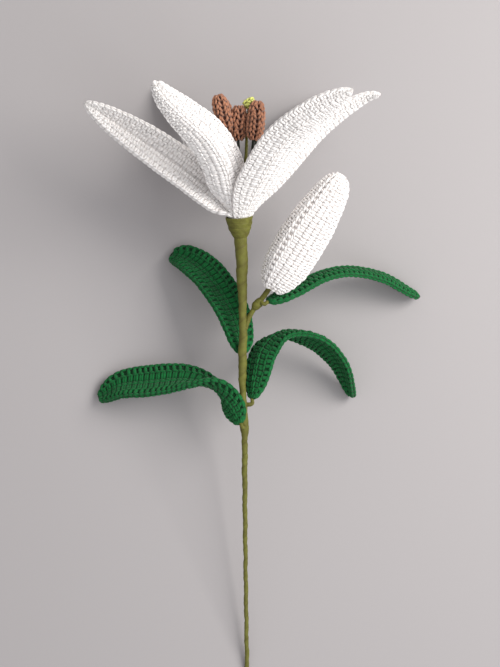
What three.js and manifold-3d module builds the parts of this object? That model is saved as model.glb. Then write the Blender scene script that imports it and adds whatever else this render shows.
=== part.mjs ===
// A crocheted lily stem, lying down: one open bloom, one closed bud and four leaves on a taped wire stem.
// Millimetres, +Z up, +Y from the cut end of the stem to the bloom. The bloom's back petals, the leaf
// tips and the cut end touch z = 0. Every crocheted piece is a closed solid of the piece's outer shape.
import * as THREE from "three";
import { mergeVertices } from "three/addons/utils/BufferGeometryUtils.js";
import Module from "manifold-3d";

const wasm = await Module();
wasm.setup();

// ---- driving dimensions ----
const TOUCH_GAP = 0.3;            // between pieces that touch
const PETAL_HALF_WIDTH = 13.5;
const PETAL_HALF_THICKNESS = 1.6;
const LEAF_HALF_WIDTH = 12;
const LEAF_HALF_THICKNESS = 1.5;
const EDGE_WIRE_RADIUS = 0.4;     // the wire along the middle of each petal and leaf
const WIRE_BORE_RADIUS = 0.75;
const STEM_WIRE_RADIUS = 0.75;
const STEM_BORE_RADIUS = 1.08;
const SIDE_WIRE_RADIUS = 0.5;
const SIDE_BORE_RADIUS = 0.85;
const CUP_CENTRE = new THREE.Vector3(-7, 75, 65.5);   // middle of the cup's rim
const CUP_AXIS = new THREE.Vector3(-0.07, 0.975, 0.21).normalize();
const CUP_DEPTH = 12.7;
const CUP_WALL = 0.9;
const CUP_FLOOR = 1.2;
const CUP_FOOT_RADIUS = 4.5;
const PETAL_RING_RADIUS = 4.95;   // from the cup's axis to a petal's base
const PETAL_RIM_RADIUS = 5.5;     // and to the petal where it passes the cup's rim
const PETAL_BASE_DEPTH = 4;       // below the cup's rim
const FILAMENT_RADIUS = 0.65;
const FILAMENT_DEPTH = 9.5;       // below the cup's rim
const FILAMENT_RING_RADIUS = 2.3; // from the cup's axis, inside the cup
const FILAMENT_SPREAD_RADIUS = 4.6;
const FILAMENT_SPREAD_HEIGHT = 12; // above the rim, where that spread is reached
const FILAMENT_STRAIGHT = 9;      // straight length under the anther
const ANTHER_HALF_WIDTH = 5.1;
const ANTHER_HALF_DEPTH = 3.4;
const BUD_WALL = 2.6;
const BUD_SEAMS = [23, 143, 263]; // degrees round the bud, from straight up towards the left

// ---- colours ----
const finish = (color, roughness) => new THREE.MeshStandardMaterial({ color, roughness, metalness: 0 });
const whiteYarn = finish(0xf1ede6, 0.9);
const greenYarn = finish(0x1c7a45, 0.9);
const brownYarn = finish(0x9a5b3e, 0.9);
const limeYarn = finish(0xcfd27a, 0.9);
const oliveTape = finish(0x77733a, 0.6);
const darkTape = finish(0x24301c, 0.6);
const stuffingFibre = finish(0xf4f4f2, 1);
const wireSteel = new THREE.MeshStandardMaterial({ color: 0x8d9095, roughness: 0.4, metalness: 1 });

const part = new THREE.Group();

// ---- shapes ----
const vec = ([x, y, z]) => new THREE.Vector3(x, y, z);
const curveThrough = (points) =>
  new THREE.CatmullRomCurve3(points.map((p) => (p.isVector3 ? p : vec(p))), false, "catmullrom", 0.5);

// Equal steps that crowd towards both ends, from 0 to 1.
const crowded = (count) =>
  Array.from({ length: count + 1 }, (_, i) => 0.5 - 0.5 * Math.cos((Math.PI * i) / count));
const even = (count) => Array.from({ length: count + 1 }, (_, i) => i / count);

function signedVolume(geometry) {
  const p = geometry.attributes.position;
  const index = geometry.index.array;
  const [a, b, c] = [new THREE.Vector3(), new THREE.Vector3(), new THREE.Vector3()];
  let sum = 0;
  for (let i = 0; i < index.length; i += 3) {
    a.fromBufferAttribute(p, index[i]);
    b.fromBufferAttribute(p, index[i + 1]);
    c.fromBufferAttribute(p, index[i + 2]);
    sum += a.dot(b.cross(c)) / 6;
  }
  return sum;
}

// A closed body from rings of equally many points: neighbouring rings are joined by quads. The two end
// rings are closed by fans, or joined to each other where the body is a sleeve.
function loft(rings, isSleeve = false) {
  const count = rings[0].length;
  const points = rings.flat();
  const index = [];
  const quads = isSleeve ? rings.length : rings.length - 1;
  for (let i = 0; i < quads; i++)
    for (let j = 0; j < count; j++) {
      const [a, b] = [i * count, ((i + 1) % rings.length) * count];
      const k = (j + 1) % count;
      index.push(a + j, a + k, b + k, a + j, b + k, b + j);
    }
  if (!isSleeve)
    for (const [ring, first, turn] of [[rings[0], 0, 1], [rings.at(-1), (rings.length - 1) * count, 0]]) {
      const middle = ring.reduce((sum, p) => sum.add(p), new THREE.Vector3()).divideScalar(count);
      points.push(middle);
      for (let j = 0; j < count; j++) {
        const pair = [first + j, first + ((j + 1) % count)];
        index.push(points.length - 1, pair[turn], pair[1 - turn]);
      }
    }
  const geometry = new THREE.BufferGeometry().setFromPoints(points).setIndex(index);
  if (signedVolume(geometry) < 0) geometry.setIndex(index.reverse());
  return geometry;
}

// The across and up directions at share u of a curve, square to it; up is as near to `lean` as it can be.
function square(curve, u, lean) {
  const along = curve.getTangentAt(u);
  const up = lean.clone().addScaledVector(along, -lean.dot(along)).normalize();
  return { along, up, across: new THREE.Vector3().crossVectors(along, up) };
}

const LEAN = new THREE.Vector3(0.3, 0, 1).normalize();

// An oval ring round a curve at share u.
function oval(curve, u, halfWidth, halfDepth, sides, lean = LEAN) {
  const centre = curve.getPointAt(u);
  const { up, across } = square(curve, u, lean);
  return Array.from({ length: sides }, (_, j) => {
    const turn = (2 * Math.PI * j) / sides;
    return centre.clone()
      .addScaledVector(across, halfWidth * Math.cos(turn))
      .addScaledVector(up, halfDepth * Math.sin(turn));
  });
}

const rod = (curve, radiusAt, sides, steps) =>
  loft(even(steps).map((u) => oval(curve, u, radiusAt(u), radiusAt(u), sides)));

// A rod with a bore along it, open at both ends.
function sleeve(curve, radiusAt, bore, sides, steps) {
  const stations = even(steps);
  const outer = stations.map((u) => oval(curve, u, radiusAt(u), radiusAt(u), sides));
  const inner = stations.map((u) => oval(curve, u, bore, bore, sides)).reverse();
  return loft([...outer, ...inner], true);
}

// Straight lines between [place, value] pairs.
const between = (pairs) => (x) => {
  const i = Math.max(1, pairs.findIndex(([at]) => at >= x));
  const [[a, v], [b, w]] = [pairs[i - 1], pairs[i]];
  return v + ((w - v) * (Math.min(Math.max(x, a), b) - a)) / (b - a);
};

function solidOf(geometry) {
  const merged = mergeVertices(geometry, 1e-4);
  return new wasm.Manifold(new wasm.Mesh({
    numProp: 3,
    vertProperties: new Float32Array(merged.attributes.position.array),
    triVerts: new Uint32Array(merged.index.array),
  }));
}

function cutAway(geometry, tool) {
  const { vertProperties, triVerts } = solidOf(geometry).subtract(solidOf(tool)).getMesh();
  return new THREE.BufferGeometry()
    .setAttribute("position", new THREE.BufferAttribute(vertProperties, 3))
    .setIndex(new THREE.BufferAttribute(triVerts, 1));
}

function add(name, geometry, material) {
  const mesh = new THREE.Mesh(geometry, material);
  mesh.name = name;
  part.add(mesh);
}

// ---- petals and leaves ----
// A blade is a flat crocheted piece bent along a spine and folded a little along its middle.
const MIDDLE_ROUNDING = 0.02;
const BLADE_SIDES = 12;
const BLADE_STEPS = 12;
const BLADE_TIP = 0.994;          // the last ring, just before the point
const WIRE_END = 0.9;             // share of a blade's length that its wire reaches
const WIRE_TAIL = 4;              // length that shows below the blade's base
const WIRE_SHARES = [1, 0.85, 0.7, 0.55, 0.4, 0.25, 0.13, 0.06, 0.03]; // its points, from its end back
const WIRE_STEPS = 18;
const WIRE_GAP_SHARE = 0.01;      // clear of the bore's blind end

// How far a blade's edge lifts, from 0 at the middle to 1 at the edge: a V with a rounded bottom.
const foldLift = (v) =>
  (Math.sqrt(v * v + MIDDLE_ROUNDING) - Math.sqrt(MIDDLE_ROUNDING)) /
  (Math.sqrt(1 + MIDDLE_ROUNDING) - Math.sqrt(MIDDLE_ROUNDING));

// Share of the full width at share u of the length: as narrow as `base` up to `foot`, then rising to the
// full width at `peak`, then falling to a round point.
const outline = ({ base, foot, peak, rise, fall, round }) => (u) =>
  u < peak
    ? 1 - (1 - base) * Math.pow((peak - Math.max(u, foot)) / (peak - foot), rise)
    : Math.pow(Math.max(0, 1 - Math.pow((u - peak) / (1 - peak), fall)), round);
const petalOutline = outline({ base: 0.125, foot: 0.055, peak: 0.38, rise: 2, fall: 2.2, round: 0.75 });
const leafOutline = outline({ base: 0.45, foot: 0, peak: 0.5, rise: 3, fall: 3.2, round: 0.6 });

function blade(spine, leanAt, halfWidth, halfThickness, shareAt, foldDegrees) {
  const fold = THREE.MathUtils.degToRad(foldDegrees);
  const rings = crowded(BLADE_STEPS).map((step) => {
    const u = Math.min(step, BLADE_TIP);
    const centre = spine.getPointAt(u);
    const { up, across } = square(spine, u, leanAt(u));
    const width = halfWidth * shareAt(u);
    const rim = Math.min(1, width / halfThickness);   // the point thins with its width
    return Array.from({ length: BLADE_SIDES }, (_, j) => {
      const turn = (2 * Math.PI * j) / BLADE_SIDES;
      const v = Math.cos(turn);
      const bulge = Math.sign(Math.sin(turn)) * Math.pow(Math.abs(Math.sin(turn)), 0.6);
      return centre.clone()
        .addScaledVector(across, width * Math.cos(fold) * v)
        .addScaledVector(up, width * Math.sin(fold) * foldLift(v) + halfThickness * rim * bulge);
    });
  });
  return loft(rings);
}

// The wire in a blade and the bore it lies in; both come out of the blade's base along `tail`.
function wired(name, body, spine, tail, material) {
  const base = spine.getPointAt(0);
  const run = WIRE_SHARES.map((share) => spine.getPointAt(share * WIRE_END));
  const line = curveThrough([...run, base, base.clone().addScaledVector(tail, WIRE_TAIL)]);
  const lean = new THREE.Vector3(0.2, 0.3, 1).normalize();
  const shares = even(WIRE_STEPS);
  const rings = (radius, places) => places.map((u) => oval(line, u, radius, radius, 6, lean));
  add(name, cutAway(body, loft(rings(WIRE_BORE_RADIUS, shares))), material);
  add(name + "_wire", loft(rings(EDGE_WIRE_RADIUS, [WIRE_GAP_SHARE, ...shares.slice(1)])), wireSteel);
}

// The cup's own directions: along its axis, to the right and up.
const CUP_RIGHT = new THREE.Vector3(1, 0, 0).addScaledVector(CUP_AXIS, -CUP_AXIS.x).normalize();
const CUP_UP = new THREE.Vector3().crossVectors(CUP_RIGHT, CUP_AXIS);
const spoke = (degrees) => {
  const turn = THREE.MathUtils.degToRad(degrees);
  return CUP_RIGHT.clone().multiplyScalar(Math.cos(turn)).addScaledVector(CUP_UP, Math.sin(turn));
};
const inCup = (degrees, radius, above) =>
  CUP_CENTRE.clone().addScaledVector(spoke(degrees), radius).addScaledVector(CUP_AXIS, above);

// Where each petal stands round the cup, the way its inside faces, its fold, the share of its length over
// which it turns from the cup's axis to face that way, and the points it passes through.
const PETALS = {
  petal_left: {
    spoke: 180, faces: [0.02, -0.04, 1], fold: 34, turnedBy: 0.14,
    through: [
      [-21.5, 88, 67], [-34, 99.5, 67], [-50, 111, 69],
      [-68.5, 123.5, 74], [-90, 137, 80], [-105, 146.5, 86],
    ],
  },
  petal_front_left: {
    spoke: 120, faces: [-0.25, 0.5, -0.83], fold: 26, turnedBy: 0.3,
    through: [
      [-12, 88.5, 82], [-16.5, 105.5, 96], [-26.5, 121.5, 112],
      [-40, 133.5, 123], [-52, 145, 132], [-59, 154.5, 138],
    ],
  },
  petal_front_right: {
    spoke: 60, faces: [-0.36, 0.5, -0.75], fold: 12, turnedBy: 0.3,
    through: [
      [2.5, 90, 84], [11, 105, 98], [20.5, 119, 112],
      [32, 129.5, 123], [46, 139.5, 132], [62.5, 149, 138],
    ],
  },
  petal_right: {
    spoke: 0, faces: [-0.55, 0.6, -0.3], fold: 25, turnedBy: 0.3,
    through: [
      [7.5, 85.5, 66], [19.5, 97, 65], [31, 110, 64], [45.5, 127, 62],
      [60, 140, 62], [75, 150.5, 64], [84, 154, 68],
    ],
  },
  petal_back_right: {
    spoke: -60, faces: [-0.2, 0.3, 0.9], fold: 25, turnedBy: 0.3,
    through: [
      [5, 93.5, 46], [14, 111, 30], [23.5, 127, 18],
      [36, 140.5, 9], [50.5, 151, 4], [64, 160, 1.7],
    ],
  },
  petal_back_left: {
    spoke: -120, faces: [0.2, 0.3, 0.9], fold: 25, turnedBy: 0.3,
    through: [
      [-18, 93.5, 46], [-27, 114.5, 30], [-36.5, 134, 18],
      [-48, 150.5, 9], [-56.5, 159, 4], [-62, 166, 1.7],
    ],
  },
};

for (const [name, petal] of Object.entries(PETALS)) {
  const base = inCup(petal.spoke, PETAL_RING_RADIUS, -PETAL_BASE_DEPTH);
  const atRim = inCup(petal.spoke, PETAL_RIM_RADIUS, 1);
  const spine = curveThrough([base, atRim, ...petal.through]);
  const inward = spoke(petal.spoke).negate();
  const faces = vec(petal.faces).normalize();
  const leanAt = (u) => inward.clone().lerp(faces, THREE.MathUtils.smoothstep(u, 0, petal.turnedBy));
  const body = blade(spine, leanAt, PETAL_HALF_WIDTH, PETAL_HALF_THICKNESS, petalOutline, petal.fold);
  wired(name, body, spine, CUP_AXIS.clone().negate(), whiteYarn);
}

// The points that each leaf passes through from the stem to its tip, and its turn about its spine at each
// of them: at 0 degrees a leaf lies flat with its upper face up, and at 90 it stands on edge.
const LEAVES = {
  leaf_upper_left: {
    turns: [150, 150, 150, 150, 150],
    through: [[-4.5, -13.5, 40.5], [-12, 13, 34], [-26, 35.5, 24], [-41.5, 49, 12], [-53.5, 52.5, 3]],
  },
  leaf_upper_right: {
    turns: [60, 68, 78, 82, 82, 82],
    through: [[11.5, 20.5, 56], [26, 29, 48], [46, 39.5, 38], [66, 43, 28], [90, 38.5, 16], [114, 24.5, 5]],
  },
  leaf_lower_right: {
    turns: [45, 40, 50, 90, 112, 115, 115],
    through: [
      [1.5, -43, 40], [3.5, -28, 38], [8.5, -9.5, 35], [23, 1, 31], [45, -3.5, 26], [61, -19.5, 17],
      [69, -42.5, 3.5],
    ],
  },
  leaf_lower_left: {
    turns: [35, 40, 90, 130, 143, 145, 145],
    through: [
      [-6, -59, 44.5], [-13.5, -46, 40.5], [-25, -35, 33], [-43.5, -31.5, 26], [-66.5, -33, 19],
      [-86.5, -35.5, 11.5], [-101.5, -44, 3.5],
    ],
  },
};
const LEAF_FOLD = -15;

for (const [name, leaf] of Object.entries(LEAVES)) {
  const spine = curveThrough(leaf.through);
  const turns = curveThrough(leaf.turns.map((turn) => [turn, 0, 0]));
  const leanAt = (u) => {
    const turn = THREE.MathUtils.degToRad(turns.getPoint(spine.getUtoTmapping(u)).x);
    const along = spine.getTangentAt(u);
    const up = new THREE.Vector3(0, 0, 1).addScaledVector(along, -along.z).normalize();
    const across = new THREE.Vector3().crossVectors(along, up);
    return up.multiplyScalar(Math.cos(turn)).addScaledVector(across, -Math.sin(turn));
  };
  const body = blade(spine, leanAt, LEAF_HALF_WIDTH, LEAF_HALF_THICKNESS, leafOutline, LEAF_FOLD);
  wired(name, body, spine, spine.getTangentAt(0).negate(), greenYarn);
}

// ---- cup: a cone of wound tape that holds the feet of the petals and stamens ----
{
  const outside = [[0, 8.7], [-3, 8.15], [-8.3, 6.9]];
  const inside = outside.map(([above, radius]) => [above, radius - CUP_WALL]);
  const floor = -CUP_DEPTH + CUP_FLOOR;
  const foot = [[-CUP_DEPTH, 0], [-CUP_DEPTH, CUP_FOOT_RADIUS]];
  const hollow = [[floor, CUP_FOOT_RADIUS - CUP_FLOOR], [floor, 0]];
  const profile = [...foot, ...outside.reverse(), ...inside, ...hollow];
  const cup = new THREE.LatheGeometry(profile.map(([above, radius]) => new THREE.Vector2(radius, above)), 20);
  cup.deleteAttribute("normal");
  cup.deleteAttribute("uv");
  const place = new THREE.Matrix4().makeBasis(CUP_RIGHT, CUP_AXIS, CUP_UP).setPosition(CUP_CENTRE);
  const closed = mergeVertices(cup.applyMatrix4(place), 1e-4);
  if (signedVolume(closed) < 0) closed.setIndex([...closed.index.array].reverse());
  add("cup_tape", closed, oliveTape);
}

// ---- stamens: a wrapped wire filament, and a crocheted anther on its end ----
const STAMENS = [
  { spoke: 150, from: [-14.5, 128, 84], to: [-20.5, 151.5, 88] },
  { spoke: 90, from: [-7.5, 122.5, 79], to: [-7, 145.5, 81] },
  { spoke: 30, from: [2, 122.5, 82], to: [5, 148, 86] },
  { spoke: -150, from: [-14, 127.5, 72], to: [-18, 150, 75] },
  { spoke: -90, from: [-7.5, 123.5, 68], to: [-8, 144, 67] },
  { spoke: -30, from: [3.5, 124.5, 68], to: [5, 147.5, 70] },
];
const antherShare = (u) => Math.sqrt(Math.max(0.04, 1 - Math.pow(Math.abs(2 * u - 1), 3.4)));

STAMENS.forEach(({ spoke: at, from, to }, i) => {
  const foot = vec(from);
  const direction = vec(to).sub(foot).normalize();
  const anther = new THREE.LineCurve3(foot, vec(to));
  const ovals = crowded(8).map((u) =>
    oval(anther, u, ANTHER_HALF_WIDTH * antherShare(u), ANTHER_HALF_DEPTH * antherShare(u), 10));
  add(`anther_${i + 1}`, loft(ovals), brownYarn);
  const end = foot.clone().addScaledVector(direction, -TOUCH_GAP);
  const line = curveThrough([
    inCup(at, FILAMENT_RING_RADIUS, -FILAMENT_DEPTH),
    inCup(at, FILAMENT_RING_RADIUS, 0),
    inCup(at, FILAMENT_SPREAD_RADIUS, FILAMENT_SPREAD_HEIGHT),
    end.clone().addScaledVector(direction, -FILAMENT_STRAIGHT),
    end,
  ]);
  add(`filament_${i + 1}`, rod(line, () => FILAMENT_RADIUS, 6, 12), darkTape);
});

// ---- pistil: a wrapped style from the middle of the cup, and a crocheted stigma across its top ----
const styleLine = curveThrough([
  inCup(0, 0, -FILAMENT_DEPTH), inCup(0, 0, 2), [-2.8, 111, 74], [-2, 130, 74], [-0.8, 143.5, 76],
]);
add("style", rod(styleLine, between([[0, 1], [0.6, 1], [0.8, 0.8], [1, 0.8]]), 8, 14), oliveTape);
const stigmaLine = curveThrough([[-4, 145, 77], [-0.5, 147.6, 78], [3.2, 149, 78]]);
add("stigma", loft(crowded(6).map((u) => {
  const radius = 2.1 * antherShare(u);
  return oval(stigmaLine, u, radius, radius, 8);
})), limeYarn);

// ---- main stem: floral tape wound round a wire, in two lengths that meet under the lower leaves ----
const stemLine = curveThrough([
  [-2, -226, 1.5], [-3, -150.5, 17.5], [-3.5, -90, 30.5], [-3.5, -67.5, 35.5], [-4.5, -43.5, 40.5],
  [-5, -24, 44.5], [-4.5, 2.5, 50], [-5, 28, 55.5], [-5.5, 54, 61],
  inCup(0, 0, -CUP_DEPTH - TOUCH_GAP),
]);
// Radius by the height along Y, because the wires taped in with the stem end at set places.
const stemRadius = between([
  [-226, 1.43], [-150, 1.43], [-108, 1.65], [-88, 1.9], [-68, 2.0], [-61, 3.2], [-52, 2.6], [-37, 2.1],
  [-28, 2.6], [-15, 2.85], [14, 2.5], [23, 2.85], [40, 3.75], [60, 4.2], [80, 4.2],
]);
const STEM_JOIN = 0.545;          // share of the stem's length
const stretchOf = (line, from, to, count) =>
  curveThrough(even(count).map((u) => line.getPointAt(from + (to - from) * u)));
const radiusOn = (line) => (u) => stemRadius(line.getPointAt(u).y);
const joinGap = TOUCH_GAP / stemLine.getLength();
const lowerStem = stretchOf(stemLine, 0, STEM_JOIN, 12);
const upperStem = stretchOf(stemLine, STEM_JOIN + joinGap, 1, 12);
add("stem_tape_lower", sleeve(lowerStem, radiusOn(lowerStem), STEM_BORE_RADIUS, 10, 22), oliveTape);
add("stem_tape_upper", sleeve(upperStem, radiusOn(upperStem), STEM_BORE_RADIUS, 10, 22), oliveTape);
const stemCore = stretchOf(stemLine, 0, 0.995, 24);
add("stem_wire", rod(stemCore, () => STEM_WIRE_RADIUS, 8, 30), wireSteel);

// ---- side stem: a thinner taped wire to the bud, with a knot of tape where the upper right leaf joins ----
const sideLine = curveThrough([
  [-0.8, 9.8, 51.6], [0.8, 13, 52.5], [4, 18, 53.8], [8, 23, 55.5], [11.6, 28, 58.6],
]);
const sideRadius = between([[0, 1.4], [0.3, 1.4], [0.6, 1.7], [1, 1.7]]);
add("side_stem_tape", sleeve(sideLine, sideRadius, SIDE_BORE_RADIUS, 8, 10), oliveTape);
const knotLine = stretchOf(sideLine, 0.33, 0.62, 4);
const knotRadius = between([[0, 2.2], [0.25, 2.9], [0.7, 2.9], [1, 2.3]]);
add("tape_knot", sleeve(knotLine, knotRadius, 2.02, 10, 4), oliveTape);

// ---- bud: three panels sewn edge to edge over a stuffing ----
const budLine = curveThrough([
  [12.9, 28.6, 61], [23, 43.5, 63], [35, 63, 66.5], [47.7, 83, 69.5], [59, 102.3, 72],
]);
const budRadius = between([
  [0, 5], [0.03, 8], [0.09, 10.9], [0.2, 14], [0.33, 14.6], [0.46, 14.7], [0.6, 14], [0.74, 12],
  [0.86, 10], [0.94, 7.2], [0.98, 4.4], [1, 2],
]);
const BUD_UP = new THREE.Vector3(0, 0, 1);
const PANEL_SEGMENTS = 8;
const BUD_STEPS = 14;
const BUD_HOLE = 1.3;             // radius left open at the foot for the side stem's wire

function roundBud(u, radius, degrees) {
  const { up, across } = square(budLine, u, BUD_UP);
  const turn = THREE.MathUtils.degToRad(degrees);
  return budLine.getPointAt(u)
    .addScaledVector(up, radius * Math.cos(turn))
    .addScaledVector(across, -radius * Math.sin(turn));
}

BUD_SEAMS.forEach((seam, i) => {
  const rings = crowded(BUD_STEPS).map((u) => {
    const radius = budRadius(u);
    const inner = Math.max(radius - BUD_WALL, Math.min(BUD_HOLE, radius / 2));
    const arc = (r) => even(PANEL_SEGMENTS).map((share) => {
      const gap = THREE.MathUtils.radToDeg(TOUCH_GAP / 2 / r);
      return roundBud(u, r, seam + gap + (120 - 2 * gap) * share);
    });
    return [...arc(radius), ...arc(inner).reverse()];
  });
  add(`bud_panel_${i + 1}`, loft(rings), whiteYarn);
});

const STUFFING_FROM = 0.06;
const STUFFING_TO = 0.93;
const stuffingRings = crowded(10).map((step) => {
  const u = STUFFING_FROM + (STUFFING_TO - STUFFING_FROM) * step;
  const radius = Math.max(0.8, budRadius(u) - BUD_WALL - 2 * TOUCH_GAP);
  return even(11).map((share) => roundBud(u, radius, (share * 360 * 11) / 12));
});
const budWireEnd = budLine.getPointAt(0.35);
const budBore = curveThrough([budLine.getPointAt(0), budLine.getPointAt(0.2), budLine.getPointAt(0.37)]);
add("bud_stuffing", cutAway(loft(stuffingRings), rod(budBore, () => 1, 8, 8)), stuffingFibre);

const sideCore = curveThrough([
  sideLine.getPointAt(0.02), ...[0.25, 0.5, 0.75, 1].map((u) => sideLine.getPointAt(u)),
  budLine.getPointAt(0.05), budLine.getPointAt(0.2), budWireEnd,
]);
add("side_stem_wire", rod(sideCore, () => SIDE_WIRE_RADIUS, 6, 22), wireSteel);

// ---- the part's own origin: under the middle of its box, on the surface it lies on ----
const box = new THREE.Box3().setFromObject(part, true);
const middle = box.getCenter(new THREE.Vector3());
part.position.set(-middle.x, -middle.y, -box.min.z);

export default part;
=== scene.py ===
import bpy
import numpy as np
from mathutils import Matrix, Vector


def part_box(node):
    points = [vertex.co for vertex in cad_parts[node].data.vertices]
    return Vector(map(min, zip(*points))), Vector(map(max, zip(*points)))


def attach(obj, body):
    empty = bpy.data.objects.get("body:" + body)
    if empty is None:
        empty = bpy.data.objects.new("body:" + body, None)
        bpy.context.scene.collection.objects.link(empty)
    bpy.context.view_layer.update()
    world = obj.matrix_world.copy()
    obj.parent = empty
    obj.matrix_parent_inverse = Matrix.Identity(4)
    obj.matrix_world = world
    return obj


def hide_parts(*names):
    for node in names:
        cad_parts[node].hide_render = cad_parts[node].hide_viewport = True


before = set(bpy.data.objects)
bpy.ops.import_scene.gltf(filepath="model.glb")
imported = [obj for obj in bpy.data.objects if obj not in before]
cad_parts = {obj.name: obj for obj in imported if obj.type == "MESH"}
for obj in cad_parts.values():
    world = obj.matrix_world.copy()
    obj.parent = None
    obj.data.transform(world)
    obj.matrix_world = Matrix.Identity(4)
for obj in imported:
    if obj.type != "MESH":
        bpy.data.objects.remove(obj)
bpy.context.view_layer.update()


# ---- setting: a pale floor, soft studio light from the upper right, and a camera straight above ----
# The stem lies on the floor with its bloom away from the viewer, so the camera hangs over it and looks
# down. MM turns the maker's millimetres into metres. The middle of anther 2 shows where the maker's own
# origin, beside the stem's middle, stands in the frame.
MM = 0.001
ANTHER_2 = (np.array([-7.5, 122.5, 79.0]), np.array([-7.0, 145.5, 81.0]))
anther_box = np.array([list(corner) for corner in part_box("anther_2")])
maker_origin = anther_box.mean(axis=0) - MM * (ANTHER_2[0] + ANTHER_2[1]) / 2
CAMERA_HEIGHT = 1.5
CAMERA_LENS = 120.4


def plain_material(name, colour, roughness, speckle=0.0, scale=60.0):
    """A matt surface whose colour is mottled a little by noise over the object's own coordinates."""
    material = bpy.data.materials.new(name)
    material.use_nodes = True
    nodes, links = material.node_tree.nodes, material.node_tree.links
    shader = nodes["Principled BSDF"]
    shader.inputs["Roughness"].default_value = roughness
    place = nodes.new("ShaderNodeTexCoord")
    noise = nodes.new("ShaderNodeTexNoise")
    noise.inputs["Scale"].default_value = scale
    noise.inputs["Detail"].default_value = 6
    ramp = nodes.new("ShaderNodeMapRange")
    ramp.inputs["To Min"].default_value = 1 - speckle
    ramp.inputs["To Max"].default_value = 1 + speckle
    tint = nodes.new("ShaderNodeMix")
    tint.data_type = "RGBA"
    tint.blend_type = "MULTIPLY"
    tint.inputs["Factor"].default_value = 1
    tint.inputs["A"].default_value = (*colour, 1)
    links.new(place.outputs["Object"], noise.inputs["Vector"])
    links.new(noise.outputs["Fac"], ramp.inputs["Value"])
    links.new(ramp.outputs["Result"], tint.inputs["B"])
    links.new(tint.outputs["Result"], shader.inputs["Base Color"])
    return material


def lay_floor():
    """A square of plain floor under the stem, wide enough to fill any view."""
    reach = 4.0
    mesh = bpy.data.meshes.new("floor")
    corners = [(-reach, -reach, 0), (reach, -reach, 0), (reach, reach, 0), (-reach, reach, 0)]
    mesh.from_pydata(corners, [], [(0, 1, 2, 3)])
    floor = bpy.data.objects.new("floor", mesh)
    mesh.materials.append(plain_material("floor_paint", (0.35, 0.335, 0.34), 0.85, 0.02, 900.0))
    bpy.context.scene.collection.objects.link(floor)


def hang_light(name, place, target, size, power, colour):
    """A square soft box at place, in metres from the maker's origin, turned to shine on target."""
    lamp = bpy.data.lights.new(name, "AREA")
    lamp.size = size
    lamp.energy = power
    lamp.color = colour
    light = bpy.data.objects.new(name, lamp)
    light.location = maker_origin + np.array(place)
    aim = Vector(maker_origin + np.array(target)) - light.location
    light.rotation_euler = aim.to_track_quat("-Z", "Y").to_euler()
    bpy.context.scene.collection.objects.link(light)


def set_camera():
    """The camera looks straight down on the maker's origin, with the bloom at the top of the frame."""
    lens = bpy.data.cameras.new("camera")
    lens.lens = CAMERA_LENS
    lens.sensor_width = 36
    lens.clip_end = 20
    camera = bpy.data.objects.new("camera", lens)
    camera.location = (maker_origin[0], maker_origin[1], maker_origin[2] + CAMERA_HEIGHT)
    bpy.context.scene.collection.objects.link(camera)
    bpy.context.scene.camera = camera


def light_room():
    """An even, faintly pink room light, and a display that shows colours as they are."""
    world = bpy.data.worlds.new("room")
    world.use_nodes = True
    world.node_tree.nodes["Background"].inputs["Color"].default_value = (1.0, 0.972, 0.98, 1)
    world.node_tree.nodes["Background"].inputs["Strength"].default_value = 0.6
    bpy.context.scene.world = world
    bpy.context.scene.view_settings.view_transform = "Standard"


lay_floor()
light_room()
hang_light("window_light", (0.75, 0.35, 0.8), (0, 0.03, 0.05), 0.6, 14.0, (1.0, 0.97, 0.93))
hang_light("fill_light", (0.6, -0.35, 1.2), (0, 0.05, 0.05), 1.2, 7.0, (0.95, 0.97, 1.0))
set_camera()


# ---- petals: six crocheted from white cotton, each worked round a chain, with a wire along its middle ----
# Rows of single crochet run along each side of the middle chain, and a border row goes round the whole
# petal. The wires go down into the cup, and the borders are sewn edge to edge above it.
STITCH = 3.9 * MM                 # from one stitch to the next
STRAND_SIDES = 5
TWIST = 2.4 * MM                  # length of yarn in which its plies turn once
MIDDLE_ROUNDING = 0.02
PETAL_HALF_WIDTH = 13.5 * MM
CUP_CENTRE = maker_origin + MM * np.array([-7.0, 75.0, 65.5])
hand = np.random.default_rng(12)


def unit(vectors):
    """The vectors, each divided by its own length."""
    return vectors / np.maximum(np.linalg.norm(vectors, axis=-1, keepdims=True), 1e-12)


CUP_AXIS = unit(np.array([-0.07, 0.975, 0.21]))
CUP_RIGHT = unit(np.array([1.0, 0, 0]) - CUP_AXIS * CUP_AXIS[0])
CUP_UP = np.cross(CUP_RIGHT, CUP_AXIS)


def spoke(degrees):
    """The direction out from the cup's axis at an angle from its right towards its top."""
    return np.cos(np.radians(degrees)) * CUP_RIGHT + np.sin(np.radians(degrees)) * CUP_UP


def in_cup(degrees, radius, above):
    """A point at a radius from the cup's axis and a height above its rim, both in millimetres."""
    return CUP_CENTRE + MM * (radius * spoke(degrees) + above * CUP_AXIS)


def placed(points):
    """Millimetres from the maker's origin as metres in the frame."""
    return [maker_origin + MM * np.array(point) for point in points]


def smooth_line(knots, per_span=60):
    """Even Catmull-Rom spans through the knots, with one more knot mirrored past each end."""
    knots = np.asarray(knots, float)
    knots = np.vstack([2 * knots[0] - knots[1], knots, 2 * knots[-1] - knots[-2]])
    spans = len(knots) - 3
    t = np.linspace(0, spans, per_span * spans + 1)
    i = np.minimum(t.astype(int), spans - 1)
    f = (t - i)[:, None]
    a, b, c, d = knots[i], knots[i + 1], knots[i + 2], knots[i + 3]
    cubic = (3 * b - a - 3 * c + d) * f**3
    return 0.5 * (2 * b + (c - a) * f + (2 * a - 5 * b + 4 * c - d) * f**2 + cubic)


def run_lengths(line):
    """How far along a line each of its points lies."""
    steps = np.linalg.norm(np.diff(line, axis=0), axis=1)
    return np.concatenate([[0], np.cumsum(steps)])


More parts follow.
